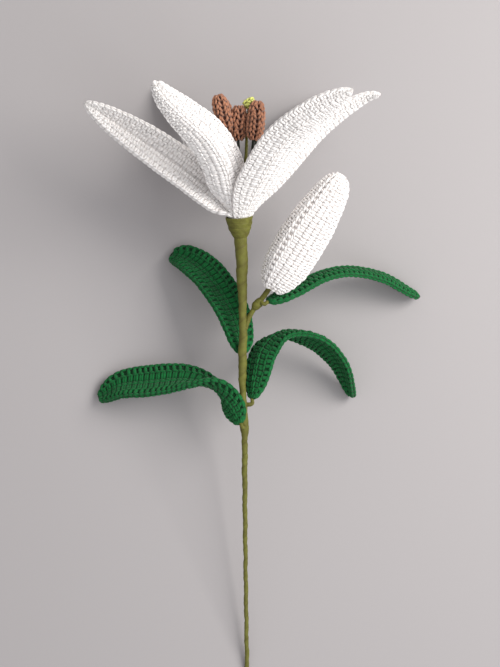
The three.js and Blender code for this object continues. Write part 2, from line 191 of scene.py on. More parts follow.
def carried(values, places, wanted):
    """Each column of values, known at places, read at the wanted places."""
    return np.stack([np.interp(wanted, places, column) for column in values.T], axis=-1)


def along_spine(knots, lean_at, count=400):
    """A spine's stations: their shares of its length, their points, and unit vectors along, up, across."""
    line = smooth_line(knots)
    lengths = run_lengths(line)
    share = np.linspace(0, 1, count)
    centre = carried(line, lengths, share * lengths[-1])
    along = unit(np.gradient(centre, axis=0))
    lean = lean_at(share, along)
    up = unit(lean - along * np.sum(lean * along, axis=-1, keepdims=True))
    return lengths[-1], share, np.hstack([centre, along, up, np.cross(along, up)])


def blade_place(knots, lean_at, half_width, outline, fold_degrees):
    """The folded sheet of a petal or leaf as a function of s along its spine, h out from its middle and z
    off its face: centre + across h cos(fold) + up w sin(fold) lift(h / w) + normal z, where w is the
    half-width there and lift is a V with a rounded bottom. It gives each point and its normal."""
    length, shares, stations = along_spine(knots, lean_at)
    fold = np.radians(fold_degrees)
    soft = MIDDLE_ROUNDING
    span = np.sqrt(1 + soft) - np.sqrt(soft)

    def width_at(s):
        return half_width * outline(np.clip(s / length, 0, 1))

    def place(s, h, z):
        station = carried(stations, shares, np.clip(s / length, 0, 1))
        centre, along, up, across = np.split(station, 4, axis=-1)
        centre = centre + along * (s - np.clip(s, 0, length))[..., None]
        w = np.maximum(width_at(s), 0.2 * MM)
        v = h / w
        lift = (np.sqrt(v * v + soft) - np.sqrt(soft)) / span
        slope = v / np.sqrt(v * v + soft) / span
        normal = unit(up - across * (np.tan(fold) * slope)[..., None])
        flat = centre + across * (h * np.cos(fold))[..., None] + up * (w * np.sin(fold) * lift)[..., None]
        return flat + normal * z[..., None], normal

    return length, width_at, place


def ring_faces(rings, sides):
    """Quads between neighbouring rings of points, numbered ring by ring, facing out where a ring turns
    from along x normal towards the normal."""
    i, j = np.meshgrid(np.arange(rings - 1), np.arange(sides), indexing="ij")
    k = (j + 1) % sides
    quads = np.stack([i * sides + j, (i + 1) * sides + j, (i + 1) * sides + k, i * sides + k], axis=-1)
    return quads.reshape(-1, 4)


class Weave:
    """Points, faces and the yarn's own coordinates, gathered from many strands into one mesh."""

    def __init__(self):
        self.points, self.nap, self.polygons, self.coords = [], [], [], []
        self.count = 0

    def add(self, points, nap, polygons, coords):
        self.points.append(points.reshape(-1, 3))
        self.nap.append(nap.ravel())
        self.polygons += [faces + self.count for faces in polygons]
        self.coords += coords
        self.count += self.points[-1].shape[0]

    def piece(self, name, material):
        """One smooth mesh object at the origin, with the yarn's coordinates as its uv map."""
        points = np.concatenate(self.points).astype(np.float32)
        corners = np.concatenate([faces.ravel() for faces in self.polygons]).astype(np.int32)
        sizes = np.concatenate([np.full(len(faces), faces.shape[1]) for faces in self.polygons])
        mesh = bpy.data.meshes.new(name)
        mesh.vertices.add(len(points))
        mesh.vertices.foreach_set("co", points.ravel())
        mesh.loops.add(len(corners))
        mesh.loops.foreach_set("vertex_index", corners)
        mesh.polygons.add(len(sizes))
        mesh.polygons.foreach_set("loop_start", (np.cumsum(sizes) - sizes).astype(np.int32))
        yarn_map = mesh.uv_layers.new(name="yarn")
        coords = np.concatenate([c.reshape(-1, 2) for c in self.coords]).astype(np.float32)
        yarn_map.data.foreach_set("uv", coords.ravel())
        nap = mesh.attributes.new("nap", "FLOAT", "POINT")
        nap.data.foreach_set("value", np.concatenate(self.nap).astype(np.float32))
        mesh.update(calc_edges=True)
        mesh.validate()
        mesh.shade_smooth()
        mesh.materials.append(material)
        piece = bpy.data.objects.new(name, mesh)
        bpy.context.scene.collection.objects.link(piece)
        return piece


def add_strands(weave, place, s, h, z, radius, sides=STRAND_SIDES):
    """Short lengths of yarn. Each row of s, h and z is one strand's path over the sheet, and its round
    section keeps the radius given at each point. Both ends are closed, and lie under their neighbours."""
    centre, normal = place(s, h, z)
    strands, steps = s.shape
    along = unit(np.gradient(centre, axis=1))
    side = unit(np.cross(along, normal))
    top = np.cross(side, along)
    turn = 2 * np.pi * np.arange(sides) / sides
    ring = side[:, :, None] * np.cos(turn)[:, None] + top[:, :, None] * np.sin(turn)[:, None]
    radius = np.broadcast_to(radius, s.shape)
    points = centre[:, :, None] + radius[:, :, None, None] * ring
    # Painted shade: each strand runs from the shade colour at its ends, where it dips under its neighbours,
    # to the full colour at its middle.
    share = np.broadcast_to(np.sin(np.pi * np.linspace(0.04, 0.96, steps)), s.shape)
    nap = np.repeat(share[:, :, None], sides, axis=2)
    first = np.arange(strands) * steps * sides
    faces = (first[:, None, None] + ring_faces(steps, sides)[None]).reshape(-1, 4)
    starts = first[:, None] + np.arange(sides)
    ends = (first[:, None] + (steps - 1) * sides + np.arange(sides))[:, ::-1]
    travel = np.cumsum(np.linalg.norm(np.diff(centre, axis=1), axis=2), axis=1) / TWIST
    travel = np.hstack([np.zeros((strands, 1)), travel])
    row, column = np.divmod(np.arange((steps - 1) * sides), sides)
    near = np.stack([travel[:, row], np.broadcast_to(column / sides, (strands, len(column)))], axis=-1)
    far = near + [0, 1 / sides]
    next_near = np.stack([travel[:, row + 1], near[..., 1]], axis=-1)
    next_far = next_near + [0, 1 / sides]
    coords = np.stack([near, next_near, next_far, far], axis=2).reshape(-1, 4, 2)
    flat = np.zeros((strands, sides, 2))
    weave.add(points, nap, [faces, starts, ends], [coords, flat, flat])


def add_rings(weave, points, nap, travel):
    """One closed body from rings of points, shape (rings, sides, 3). The yarn's coordinates are travel, one
    number for each ring, and the share of the turn round the ring."""
    rings, sides = points.shape[:2]
    row, column = np.divmod(np.arange((rings - 1) * sides), sides)
    steps = [(0, 0), (1, 0), (1, 1), (0, 1)]
    coords = np.stack([np.stack([travel[row + i], (column + j) / sides], axis=-1) for i, j in steps], axis=1)
    start = np.arange(sides)[None]
    end = (rings - 1) * sides + np.arange(sides)[None, ::-1]
    flat = np.zeros((1, sides, 2))
    nap = np.broadcast_to(nap, points.shape[:2])
    weave.add(points, nap, [ring_faces(rings, sides), start, end], [coords, flat, flat])


def add_backing(weave, length, width_at, place, thickness, steps=60, sides=16):
    """The close inner fabric of a blade: a thin closed oval section carried along the whole sheet. It is
    painted all over in the yarn's shade colour, as painted shade in the gaps between stitches.
    """
    share = 0.5 - 0.5 * np.cos(np.pi * np.linspace(0, 1, steps))
    s = np.repeat((share * length * 0.998)[:, None], sides, axis=1)
    turn = 2 * np.pi * np.arange(sides) / sides
    width = np.maximum(width_at(s), 0.5 * MM)
    h = width * 0.93 * np.cos(turn)
    z = thickness * np.minimum(1, width / thickness / 2) * np.sign(np.sin(turn)) * np.abs(np.sin(turn))**0.6
    points, _ = place(s, h, z)
    # Painted shade: the whole backing takes the yarn's shade colour.
    add_rings(weave, points, 0.0, share * length / TWIST)


def shaped(stitches, rise, lift, thickness, steps=5):
    """One strand of a stitch for every stitch: t runs 0 to 1 along it, rise(t) gives its place in the row
    as shares of a stitch along and of the row's height, and lift(t) its height off the face."""
    t = np.linspace(0, 1, steps)
    jitter = hand.normal(0, 0.035, (len(stitches), 1))
    a, b = rise(t)
    plump = 1 + hand.normal(0, 0.05, (len(stitches), 1))
    along = (stitches[:, None] + a + jitter) * STITCH
    radius = thickness * plump * (0.62 + 0.38 * np.sin(np.pi * t))
    return along, b + 0 * jitter, lift(t) * plump, radius


def v_leg(side):
    """One leg of a V: from the stitch's middle at the foot of the row out to one side at its top."""
    return lambda t: (0.5 + side * (0.14 + 0.14 * t), -0.14 + 1.2 * t)


def post_strand(side):
    """One of a tall stitch's two strands, side by side: nearest half-way up, and leaning a little."""
    return lambda t: (0.5 + side * (0.21 - 0.05 * np.sin(np.pi * t)) - 0.1 * t, -0.05 + 1.1 * t)


def rung(t):
    """A border stitch: one strand that slants a little from the inner rail to the rim."""
    return 0.36 + 0.26 * t, -0.08 + 1.1 * t


def arch(low, high):
    """A height that swells from low at both ends to high in the middle."""
    return lambda t: low + (high - low) * np.sin(np.pi * t)


def crochet_blade(name, knots, lean_at, half_width, outline, fold, make, material):
    """A whole petal or leaf: its backing, then on both faces and both sides of the middle chain the inner
    rows, a rail, the border stitches and the rim's chain."""
    length, width_at, place = blade_place(knots, lean_at, half_width, outline, fold)
    weave = Weave()
    add_backing(weave, length, width_at, place, make["backing"])
    stitches = np.arange(int(length / STITCH)) + 0.0

    def lay(face, side, inner, outer, strand):
        s, b, lift, radius = strand
        s = np.clip(s, 0, length)
        w = width_at(s)
        low, high = inner(w), outer(w)
        h = side * (low + (high - low) * b)
        thin = np.clip(w / (3 * MM), 0.55, 1)
        add_strands(weave, place, s, h, face * lift * thin, radius * thin)

    def chain_edge(w):
        return np.minimum(make["chain"], 0.25 * w)

    def rail(w):
        return w - np.minimum(make["border"], 0.42 * w)

    def rim(w):
        return w

    def inner_row(j):
        return lambda w: chain_edge(w) + (rail(w) - chain_edge(w)) * j / make["rows"]

    for face in (1, -1):
        for side in (1, -1):
            for j in range(make["rows"]):
                for leg in (1, -1):
                    strand = shaped(stitches + 0.5 * (j % 2), make["inner"](leg), arch(*make["inner_lift"]),
                                    make["inner_yarn"])
                    lay(face, side, inner_row(j), inner_row(j + 1), strand)
            for leg in make["border_legs"]:
                strand = shaped(stitches + 0.25, make["border_stitch"](leg), arch(*make["border_lift"]),
                                make["border_yarn"])
                lay(face, side, rail, rim, strand)
            link = shaped(stitches, lambda t: (-0.12 + 1.24 * t, 0.5 * (t - 0.5)), arch(0.75 * MM, 1.55 * MM),
                          make["rail_yarn"])
            lay(face, side, rail, lambda w: rail(w) + 1.6 * MM, link)
            edge = shaped(stitches, lambda t: (-0.12 + 1.24 * t, 0.6 * (t - 0.5)), arch(0.45 * MM, 0.95 * MM),
                          make["rim_yarn"])
            lay(face, side, rim, lambda w: w + 1.0 * MM, edge)
        for leg in (1, -1):
            middle = shaped(stitches, lambda t: (-0.1 + 1.2 * t, 0.15 + 0.7 * t), arch(0.7 * MM, 1.25 * MM),
                            make["rail_yarn"])
            lay(face, leg, lambda w: 0 * w, chain_edge, middle)
    return weave.piece(name, material)


def yarn_material(name, colour, painted_shade_colour, ply_depth, roughness=0.9, sheen=0.25, mottle=0.08, glow=0.0):
    """Twisted yarn: painted shade, from the shade colour low between the stitches to the full colour on
    top, a slant of plies that follows the yarn's own coordinates, and fine fibres over the whole surface.
    Glow is the share of the light that passes a little way through the fibres before it leaves them."""
    material = bpy.data.materials.new(name)
    material.use_nodes = True
    nodes, links = material.node_tree.nodes, material.node_tree.links
    shader = nodes["Principled BSDF"]
    shader.inputs["Roughness"].default_value = roughness
    shader.inputs["Sheen Weight"].default_value = sheen
    shader.inputs["Sheen Roughness"].default_value = 0.5
    shader.inputs["Specular IOR Level"].default_value = 0.2
    shader.inputs["Subsurface Weight"].default_value = glow
    shader.inputs["Subsurface Radius"].default_value = (1, 0.97, 0.95)
    shader.inputs["Subsurface Scale"].default_value = 3 * MM
    # Painted shade: a share set for each point, where the mesh is built, mixes the shade colour, low between
    # the stitches, with the full colour on top.
    nap = nodes.new("ShaderNodeAttribute")
    nap.attribute_name = "nap"
    tone = nodes.new("ShaderNodeMix")
    tone.data_type = "RGBA"
    tone.inputs["A"].default_value = (*painted_shade_colour, 1)
    tone.inputs["B"].default_value = (*colour, 1)
    place = nodes.new("ShaderNodeTexCoord")
    cloud = nodes.new("ShaderNodeTexNoise")
    cloud.inputs["Scale"].default_value = 160
    cloud.inputs["Detail"].default_value = 4
    shade = nodes.new("ShaderNodeMapRange")
    shade.inputs["From Min"].default_value = 0.3
    shade.inputs["From Max"].default_value = 0.7
    shade.inputs["To Min"].default_value = 1 - mottle
    shade.inputs["To Max"].default_value = 1 + mottle
    tint = nodes.new("ShaderNodeMix")
    tint.data_type = "RGBA"
    tint.blend_type = "MULTIPLY"
    tint.inputs["Factor"].default_value = 1
    fibres = nodes.new("ShaderNodeTexNoise")
    fibres.inputs["Scale"].default_value = 2600
    fibres.inputs["Detail"].default_value = 2
    twist = nodes.new("ShaderNodeUVMap")
    twist.uv_map = "yarn"
    parts = nodes.new("ShaderNodeSeparateXYZ")
    slant = nodes.new("ShaderNodeMath")
    slant.operation = "MULTIPLY_ADD"
    slant.inputs[1].default_value = 2
    turns = nodes.new("ShaderNodeMath")
    turns.operation = "MULTIPLY"
    turns.inputs[1].default_value = 2 * np.pi
    wave = nodes.new("ShaderNodeMath")
    wave.operation = "SINE"
    height = nodes.new("ShaderNodeMath")
    height.operation = "MULTIPLY_ADD"
    height.inputs[1].default_value = 0.35
    bump = nodes.new("ShaderNodeBump")
    bump.inputs["Distance"].default_value = ply_depth
    links.new(nap.outputs["Fac"], tone.inputs["Factor"])
    links.new(place.outputs["Object"], cloud.inputs["Vector"])
    links.new(place.outputs["Object"], fibres.inputs["Vector"])
    links.new(cloud.outputs["Fac"], shade.inputs["Value"])
    links.new(tone.outputs["Result"], tint.inputs["A"])
    links.new(shade.outputs["Result"], tint.inputs["B"])
    links.new(tint.outputs["Result"], shader.inputs["Base Color"])
    links.new(twist.outputs["UV"], parts.inputs["Vector"])
    links.new(parts.outputs["Y"], slant.inputs[0])
    links.new(parts.outputs["X"], slant.inputs[2])
    links.new(slant.outputs["Value"], turns.inputs[0])
    links.new(turns.outputs["Value"], wave.inputs[0])
    links.new(wave.outputs["Value"], height.inputs[0])
    links.new(fibres.outputs["Fac"], height.inputs[2])
    links.new(height.outputs["Value"], bump.inputs["Height"])
    links.new(bump.outputs["Normal"], shader.inputs["Normal"])
    return material


def petal_outline(u):
    """Share of the full width: a straight flare up to where the sewing ends, then a long round point."""
    flare = 0.27 + 0.73 * np.sin(0.5 * np.pi * np.clip(u / 0.28, 0, 1))
    point = np.clip(1 - np.clip((u - 0.38) / 0.62, 0, 1)**2.2, 0, 1)**0.65
    return flare * point


# Each petal's place round the cup, the way its inside faces, its fold, the share of its length over which
# it turns to face that way, and the points that it passes through.
PETALS = {
    "petal_left": (180, (0.02, -0.04, 1), 34, 0.14, [
        (-21.5, 88, 67), (-34, 99.5, 67), (-50, 111, 69), (-68.5, 123.5, 74), (-90, 137, 80),
        (-105, 146.5, 86)]),
    "petal_front_left": (120, (-0.25, 0.5, -0.83), 26, 0.3, [
        (-12, 88.5, 82), (-16.5, 105.5, 96), (-26.5, 121.5, 112), (-40, 133.5, 123), (-52, 145, 132),
        (-59, 154.5, 138)]),
    "petal_front_right": (60, (-0.36, 0.5, -0.75), 12, 0.3, [
        (2.5, 90, 84), (11, 105, 98), (20.5, 119, 112), (32, 129.5, 123), (46, 139.5, 132),
        (62.5, 149, 138)]),
    "petal_right": (0, (-0.55, 0.6, -0.3), 25, 0.3, [
        (7.5, 85.5, 66), (19.5, 97, 65), (31, 110, 64), (45.5, 127, 62), (60, 140, 62), (75, 150.5, 64),
        (84, 154, 68)]),
    "petal_back_right": (-60, (-0.2, 0.3, 0.9), 25, 0.3, [
        (5, 93.5, 46), (14, 111, 30), (23.5, 127, 18), (36, 140.5, 9), (50.5, 151, 4), (64, 160, 1.7)]),
    "petal_back_left": (-120, (0.2, 0.3, 0.9), 25, 0.3, [
        (-18, 93.5, 46), (-27, 114.5, 30), (-36.5, 134, 18), (-48, 150.5, 9), (-56.5, 159, 4),
        (-62, 166, 1.7)]),
}
PETAL_MAKE = {
    "backing": 1.15 * MM, "chain": 1.6 * MM, "rows": 2, "border": 4.2 * MM,
    "inner": v_leg, "inner_lift": (0.62 * MM, 0.9 * MM), "inner_yarn": 1.32 * MM,
    "border_stitch": v_leg, "border_legs": (1, -1), "border_lift": (0.5 * MM, 0.95 * MM),
    "border_yarn": 1.05 * MM, "rail_yarn": 0.8 * MM, "rim_yarn": 0.9 * MM,
}
# The second colour is the white yarn's painted shade, for the gaps between stitches and the backing.
white_yarn = yarn_material("white_yarn", (0.90, 0.865, 0.845), (0.87, 0.82, 0.79), 0.07 * MM,
                           mottle=0.03, glow=0.6)


def petal_lean(degrees, faces, turned_by):
    """A petal's inside faces the cup's axis at its base, and turns to its own direction further out."""
    inward = -spoke(degrees)
    faces = unit(np.array(faces))

    def lean_at(share, along):
        t = np.clip(share / turned_by, 0, 1)
        blend = (t * t * (3 - 2 * t))[:, None]
        return inward * (1 - blend) + faces * blend

    return lean_at


for name, (degrees, faces, fold, turned_by, through) in PETALS.items():
    spine = [in_cup(degrees, 4.95, -4), in_cup(degrees, 5.5, 1), *placed(through)]
    petal = crochet_blade(name + "_crochet", spine, petal_lean(degrees, faces, turned_by),
                          PETAL_HALF_WIDTH, petal_outline, fold, PETAL_MAKE, white_yarn)
    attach(petal, "root")
    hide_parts(name)


# ---- leaves: four crocheted from emerald yarn, with tall stitches and an open ladder for a border ----
# Each is worked round a chain over a wire, and the wire is bound in under the stem's tape. The leaves arch
# over and droop, and show now the upper face, now the border.
LEAF_HALF_WIDTH = 12 * MM
LEAF_FOLD = -15


def leaf_outline(u):
    """Share of the full width: round at the base, then nearly even, then falling to a round tip."""
    base = 1 - 0.55 * (np.clip(0.5 - u, 0, 1) / 0.5)**3
    base = base * np.sqrt(np.maximum(0.06, 1 - np.clip(1 - u / 0.09, 0, 1)**2))
    tip = np.clip(1 - np.clip((u - 0.5) / 0.5, 0, 1)**3.2, 0, 1)**0.6
    return base * tip


# Each leaf's turn about its spine at the points that it passes through: 0 lies flat, 90 stands on edge.
LEAVES = {
    "leaf_upper_left": ([150] * 5, [
        (-4.5, -13.5, 40.5), (-12, 13, 34), (-26, 35.5, 24), (-41.5, 49, 12), (-53.5, 52.5, 3)]),
    "leaf_upper_right": ([60, 68, 78, 82, 82, 82], [
        (11.5, 20.5, 56), (26, 29, 48), (46, 39.5, 38), (66, 43, 28), (90, 38.5, 16), (114, 24.5, 5)]),
    "leaf_lower_right": ([45, 40, 50, 90, 112, 115, 115], [
        (1.5, -43, 40), (3.5, -28, 38), (8.5, -9.5, 35), (23, 1, 31), (45, -3.5, 26), (61, -19.5, 17),
        (69, -42.5, 3.5)]),
    "leaf_lower_left": ([35, 40, 90, 130, 143, 145, 145], [
        (-6, -59, 44.5), (-13.5, -46, 40.5), (-25, -35, 33), (-43.5, -31.5, 26), (-66.5, -33, 19),
        (-86.5, -35.5, 11.5), (-101.5, -44, 3.5)]),
}
LEAF_MAKE = {
    "backing": 1.0 * MM, "chain": 1.3 * MM, "rows": 1, "border": 4.6 * MM,
    "inner": post_strand, "inner_lift": (0.6 * MM, 0.9 * MM), "inner_yarn": 1.15 * MM,
    "border_stitch": lambda leg: rung, "border_legs": (1,), "border_lift": (0.5 * MM, 1.1 * MM),
    "border_yarn": 1.35 * MM, "rail_yarn": 0.85 * MM, "rim_yarn": 0.95 * MM,
}
# The second colour is the green yarn's painted shade, near black, for the gaps between stitches and the
# backing.
green_yarn = yarn_material("green_yarn", (0.004, 0.120, 0.028), (0.001, 0.045, 0.011), 0.2 * MM,
                           sheen=0.1, mottle=0.12)


def leaf_lean(turns, knots):
    """Up, made square to the spine, turned about it by the angle given at each knot."""
    line = smooth_line(knots)
    lengths = run_lengths(line)
    angle = smooth_line(np.radians(np.array(turns, float))[:, None])[:, 0]

    def lean_at(share, along):
        turn = np.interp(share, lengths / lengths[-1], angle)[:, None]
        up = unit(np.array([0, 0, 1.0]) - along * along[:, 2:3])
        across = np.cross(along, up)
        return up * np.cos(turn) - across * np.sin(turn)

    return lean_at


for name, (turns, through) in LEAVES.items():
    spine = placed(through)
    leaf = crochet_blade(name + "_crochet", spine, leaf_lean(turns, spine), LEAF_HALF_WIDTH,
                         leaf_outline, LEAF_FOLD, LEAF_MAKE, green_yarn)
    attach(leaf, "root")
    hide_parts(name)


# ---- bud: three panels of white crochet sewn edge to edge over soft stuffing ----
# The panels' rows run from the foot to the tip. Along each seam the borders stand up as a ridge, and the
# row beside it is open enough to show its holes.
BUD_LINE = placed([(12.9, 28.6, 61), (23, 43.5, 63), (35, 63, 66.5), (47.7, 83, 69.5), (59, 102.3, 72)])
BUD_RADIUS = MM * np.array([5, 8, 10.9, 14, 14.6, 14.7, 14, 12, 10, 7.2, 4.4, 2])
BUD_PLACES = [0, 0.03, 0.09, 0.2, 0.33, 0.46, 0.6, 0.74, 0.86, 0.94, 0.98, 1]
BUD_SEAMS = [23, 143, 263]        # degrees round the bud, from straight up towards the left
BUD_ROWS = 7
BUD_SINK = 0.5 * MM               # of the close inner fabric, under the stitches


def evened(values, reach):
    """Values on an even grid, each replaced by the mean of its neighbours within reach steps."""
    padded = np.pad(values, reach, mode="reflect", reflect_type="odd")
    return np.convolve(padded, np.full(2 * reach + 1, 1 / (2 * reach + 1)), mode="valid")


def round_place(knots, lean, across_radius, up_radius):
    """The surface of a round body as a function of s along its middle line, the turn from across towards
    up, and z off the surface: centre + across (a + z) cos(turn) + up (b + z) sin(turn), where a and b are
    its half-width and half-depth, known at even shares of its length."""
    count = len(across_radius)
    direction = np.array(lean, float)
    length, shares, stations = along_spine(knots, lambda share, along: direction, count)
    slope = np.gradient(across_radius + up_radius) / 2 / (length / (count - 1))
    table = np.column_stack([stations, across_radius, up_radius, np.clip(slope, -1.5, 1.5)])

    def place(s, turn, z):
        station = carried(table, shares, np.clip(s / length, 0, 1))
        centre, along, up, across = (station[..., i:i + 3] for i in (0, 3, 6, 9))
        a, b, rise = (station[..., i:i + 1] for i in (12, 13, 14))
        c, d = np.cos(turn)[..., None], np.sin(turn)[..., None]
        normal = unit(across * c + up * d - along * rise)
        past = along * (s - np.clip(s, 0, length))[..., None]
        return centre + past + across * a * c + up * b * d + normal * z[..., None], normal

    return length, place


def add_core(weave, length, place, sink, steps=60, sides=36):
    """The close inner fabric of a round body, under its stitches. It is painted all over in the yarn's shade
    colour, as painted shade in the holes between stitches.
    """
    share = 0.5 - 0.5 * np.cos(np.pi * np.linspace(0.01, 0.99, steps))
    s = np.repeat((share * length)[:, None], sides, axis=1)
    turn = np.broadcast_to(2 * np.pi * np.arange(sides) / sides, s.shape)
    points, _ = place(s, turn, np.full(s.shape, -sink))
    # Painted shade: the whole core takes the yarn's shade colour.
    add_rings(weave, points, 0.0, share * length / TWIST)


bud_grid = np.linspace(0, 1, 200)
bud_radius = evened(np.interp(bud_grid, BUD_PLACES, BUD_RADIUS), 5)
bud_length, bud_place = round_place(BUD_LINE, (0, 0, 1), bud_radius, bud_radius)


def bud_strands(weave, seam, row, rows, strand):
    """Lay one strand of a row's stitches: the rows share the panel's third of a turn, from its seam."""
    s, b, lift, radius = strand
    s = np.clip(s, 0, bud_length)
    degrees = 90 + seam + 120 * (row + b) / rows
    spot = np.interp(s / bud_length, bud_grid, bud_radius)
    thin = np.clip(spot / (8 * MM), 0.45, 1)
    add_strands(weave, bud_place, s, np.radians(degrees), (lift - 0.75 * MM) * thin, radius * thin)


def bud_panel(name, seam):
    """A third of the bud: an open ladder row beside its seam, V rows, and the seam's own ridge."""
    weave = Weave()
    stitches = np.arange(int(bud_length / STITCH)) + 0.0
    bud_strands(weave, seam, 0, BUD_ROWS, shaped(stitches, rung, arch(0.4 * MM, 0.75 * MM), 1.25 * MM))
    for row in range(1, BUD_ROWS):
        for leg in (1, -1):
            strand = shaped(stitches + 0.5 * (row % 2), v_leg(leg), arch(0.5 * MM, 0.72 * MM), 1.2 * MM)
            bud_strands(weave, seam, row, BUD_ROWS, strand)
    for row, slant in ((0, 0.3), (1, 0.24)):
        link = shaped(stitches, lambda t: (-0.12 + 1.24 * t, slant * (t - 0.5)),
                      arch(0.9 * MM, 1.35 * MM), 0.95 * MM)
        bud_strands(weave, seam, row, BUD_ROWS, link)
    if seam == BUD_SEAMS[0]:
        add_core(weave, bud_length, bud_place, BUD_SINK)
    return weave.piece(name, white_yarn)


for i, seam in enumerate(BUD_SEAMS):
    panel = bud_panel(f"bud_panel_{i + 1}_crochet", seam)
    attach(panel, "root")
    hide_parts(f"bud_panel_{i + 1}")


# ---- stamens: brown crocheted anthers on the ends of wires wound with dark tape ----
# Each anther is worked in the round, so its stitches stand in braids along it, with holes between that show
# its core, painted near black as painted shade.
STAMENS = [
    (150, (-14.5, 128, 84), (-20.5, 151.5, 88)),
    (90, (-7.5, 122.5, 79), (-7, 145.5, 81)),
    (30, (2, 122.5, 82), (5, 148, 86)),
    (-150, (-14, 127.5, 72), (-18, 150, 75)),
    (-90, (-7.5, 123.5, 68), (-8, 144, 67)),
    (-30, (3.5, 124.5, 68), (5, 147.5, 70)),
]
ANTHER_HALF_WIDTH = 5.1 * MM
ANTHER_HALF_DEPTH = 3.4 * MM
ANTHER_STITCH = 3.3 / 3.9         # of a petal's stitch
ANTHER_BRAIDS = 6
# The second colour is the brown yarn's painted shade, near black, for the holes between stitches and the
# core.
brown_yarn = yarn_material("brown_yarn", (0.42, 0.19, 0.11), (0.06, 0.018, 0.01), 0.2 * MM, mottle=0.15)


def braid_leg(side):
    """One leg of a V that points along the piece: from the braid's middle out to one side and back."""
    return lambda t: (-0.1 + 1.15 * t, 0.5 + side * (0.02 + 0.36 * np.sin(0.8 * np.pi * t)))


def plump_share(u):
    """Share of the full radius of a rounded rod: nearly even, with blunt round ends."""
    return np.sqrt(np.maximum(0.04, 1 - np.abs(2 * u - 1)**3.4))


def braided_rod(name, start, end, half_width, half_depth, braids, stitch, yarn, material):
    """A crocheted rod between two points, with its braids side by side round it."""
    grid = np.linspace(0, 1, 80)
    share = plump_share(grid)
    knots = [np.array(start), (np.array(start) + end) / 2, np.array(end)]
    length, place = round_place(knots, (0.3, 0, 1), half_width * share, half_depth * share)
    weave = Weave()
    add_core(weave, length, place, 0.9 * yarn, 24, 18)
    stitches = np.arange(int(length / (stitch * STITCH)) + 1) - 0.3
    for braid in range(braids):
        shift, sway = hand.normal(0, 0.09, (2, len(stitches)))
        for leg in (1, -1):
            strand = shaped(stitches + shift + 0.5 * (braid % 2), braid_leg(leg), arch(-0.35, 0.35), yarn)
            s, b, lift, radius = strand
            b = b + sway[:, None]
            s = np.clip(s * stitch, 0.8 * yarn, length - 0.8 * yarn)
            thin = 0.35 + 0.65 * np.interp(s / length, grid, share)
            add_strands(weave, place, s, 2 * np.pi * (braid + b) / braids, lift * yarn * thin, radius * thin)
    return weave.piece(name, material)


for i, (degrees, foot, tip) in enumerate(STAMENS, 1):
    anther = braided_rod(f"anther_{i}_crochet", *placed([foot, tip]), ANTHER_HALF_WIDTH - 0.5 * MM,
                         ANTHER_HALF_DEPTH - 0.2 * MM, ANTHER_BRAIDS, ANTHER_STITCH, 0.98 * MM, brown_yarn)
    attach(anther, "root")
    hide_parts(f"anther_{i}")


def tape_material(name, colour, shadow, sheen_rough):
    """Waxed crepe-paper tape: each lap is painted darker towards its covered edge, as painted shade under the
    lap above, with random blotches of the same darker colour, and fine creases run across it.
    The tape's own coordinates count its laps along and one turn round."""
    material = bpy.data.materials.new(name)
    material.use_nodes = True
    nodes, links = material.node_tree.nodes, material.node_tree.links
    shader = nodes["Principled BSDF"]
    shader.inputs["Roughness"].default_value = sheen_rough
    shader.inputs["Specular IOR Level"].default_value = 0.2
    tape = nodes.new("ShaderNodeUVMap")
    tape.uv_map = "yarn"
    parts = nodes.new("ShaderNodeSeparateXYZ")
    laps = nodes.new("ShaderNodeMath")
    laps.operation = "ADD"
    lap = nodes.new("ShaderNodeMath")
    lap.operation = "FRACT"
    edge = nodes.new("ShaderNodeMapRange")
    edge.inputs["From Max"].default_value = 0.2
    edge.inputs["To Min"].default_value = 0.55
    place = nodes.new("ShaderNodeTexCoord")
    blotch = nodes.new("ShaderNodeTexNoise")
    blotch.inputs["Scale"].default_value = 220
    blotch.inputs["Detail"].default_value = 5
    spread = nodes.new("ShaderNodeMapRange")
    spread.inputs["From Min"].default_value = 0.35
    spread.inputs["From Max"].default_value = 0.65
    spread.inputs["To Min"].default_value = 0.55
    depth = nodes.new("ShaderNodeMath")
    depth.operation = "MULTIPLY"
    tone = nodes.new("ShaderNodeMix")
    tone.data_type = "RGBA"
    tone.inputs["A"].default_value = (*shadow, 1)
    tone.inputs["B"].default_value = (*colour, 1)
    crepe = nodes.new("ShaderNodeTexNoise")
    crepe.inputs["Scale"].default_value = 1500
    crepe.inputs["Detail"].default_value = 3
    bump = nodes.new("ShaderNodeBump")
    bump.inputs["Distance"].default_value = 0.25 * MM
    bump.inputs["Strength"].default_value = 0.7
    links.new(tape.outputs["UV"], parts.inputs["Vector"])
    links.new(parts.outputs["X"], laps.inputs[0])
    links.new(parts.outputs["Y"], laps.inputs[1])
    links.new(laps.outputs["Value"], lap.inputs[0])
    links.new(lap.outputs["Value"], edge.inputs["Value"])
    links.new(place.outputs["Object"], blotch.inputs["Vector"])
    links.new(blotch.outputs["Fac"], spread.inputs["Value"])
    links.new(edge.outputs["Result"], depth.inputs[0])
    links.new(spread.outputs["Result"], depth.inputs[1])
    links.new(depth.outputs["Value"], tone.inputs["Factor"])
    links.new(tone.outputs["Result"], shader.inputs["Base Color"])
    links.new(place.outputs["Object"], crepe.inputs["Vector"])
    links.new(crepe.outputs["Fac"], bump.inputs["Height"])
    links.new(bump.outputs["Normal"], shader.inputs["Normal"])
    return material


# The second colour of each tape is its painted shade, also used for its random blotches.
olive_tape = tape_material("olive_tape", (0.135, 0.138, 0.027), (0.060, 0.046, 0.012), 0.6)
dark_tape = tape_material("dark_tape", (0.012, 0.015, 0.008), (0.004, 0.005, 0.003), 0.5)


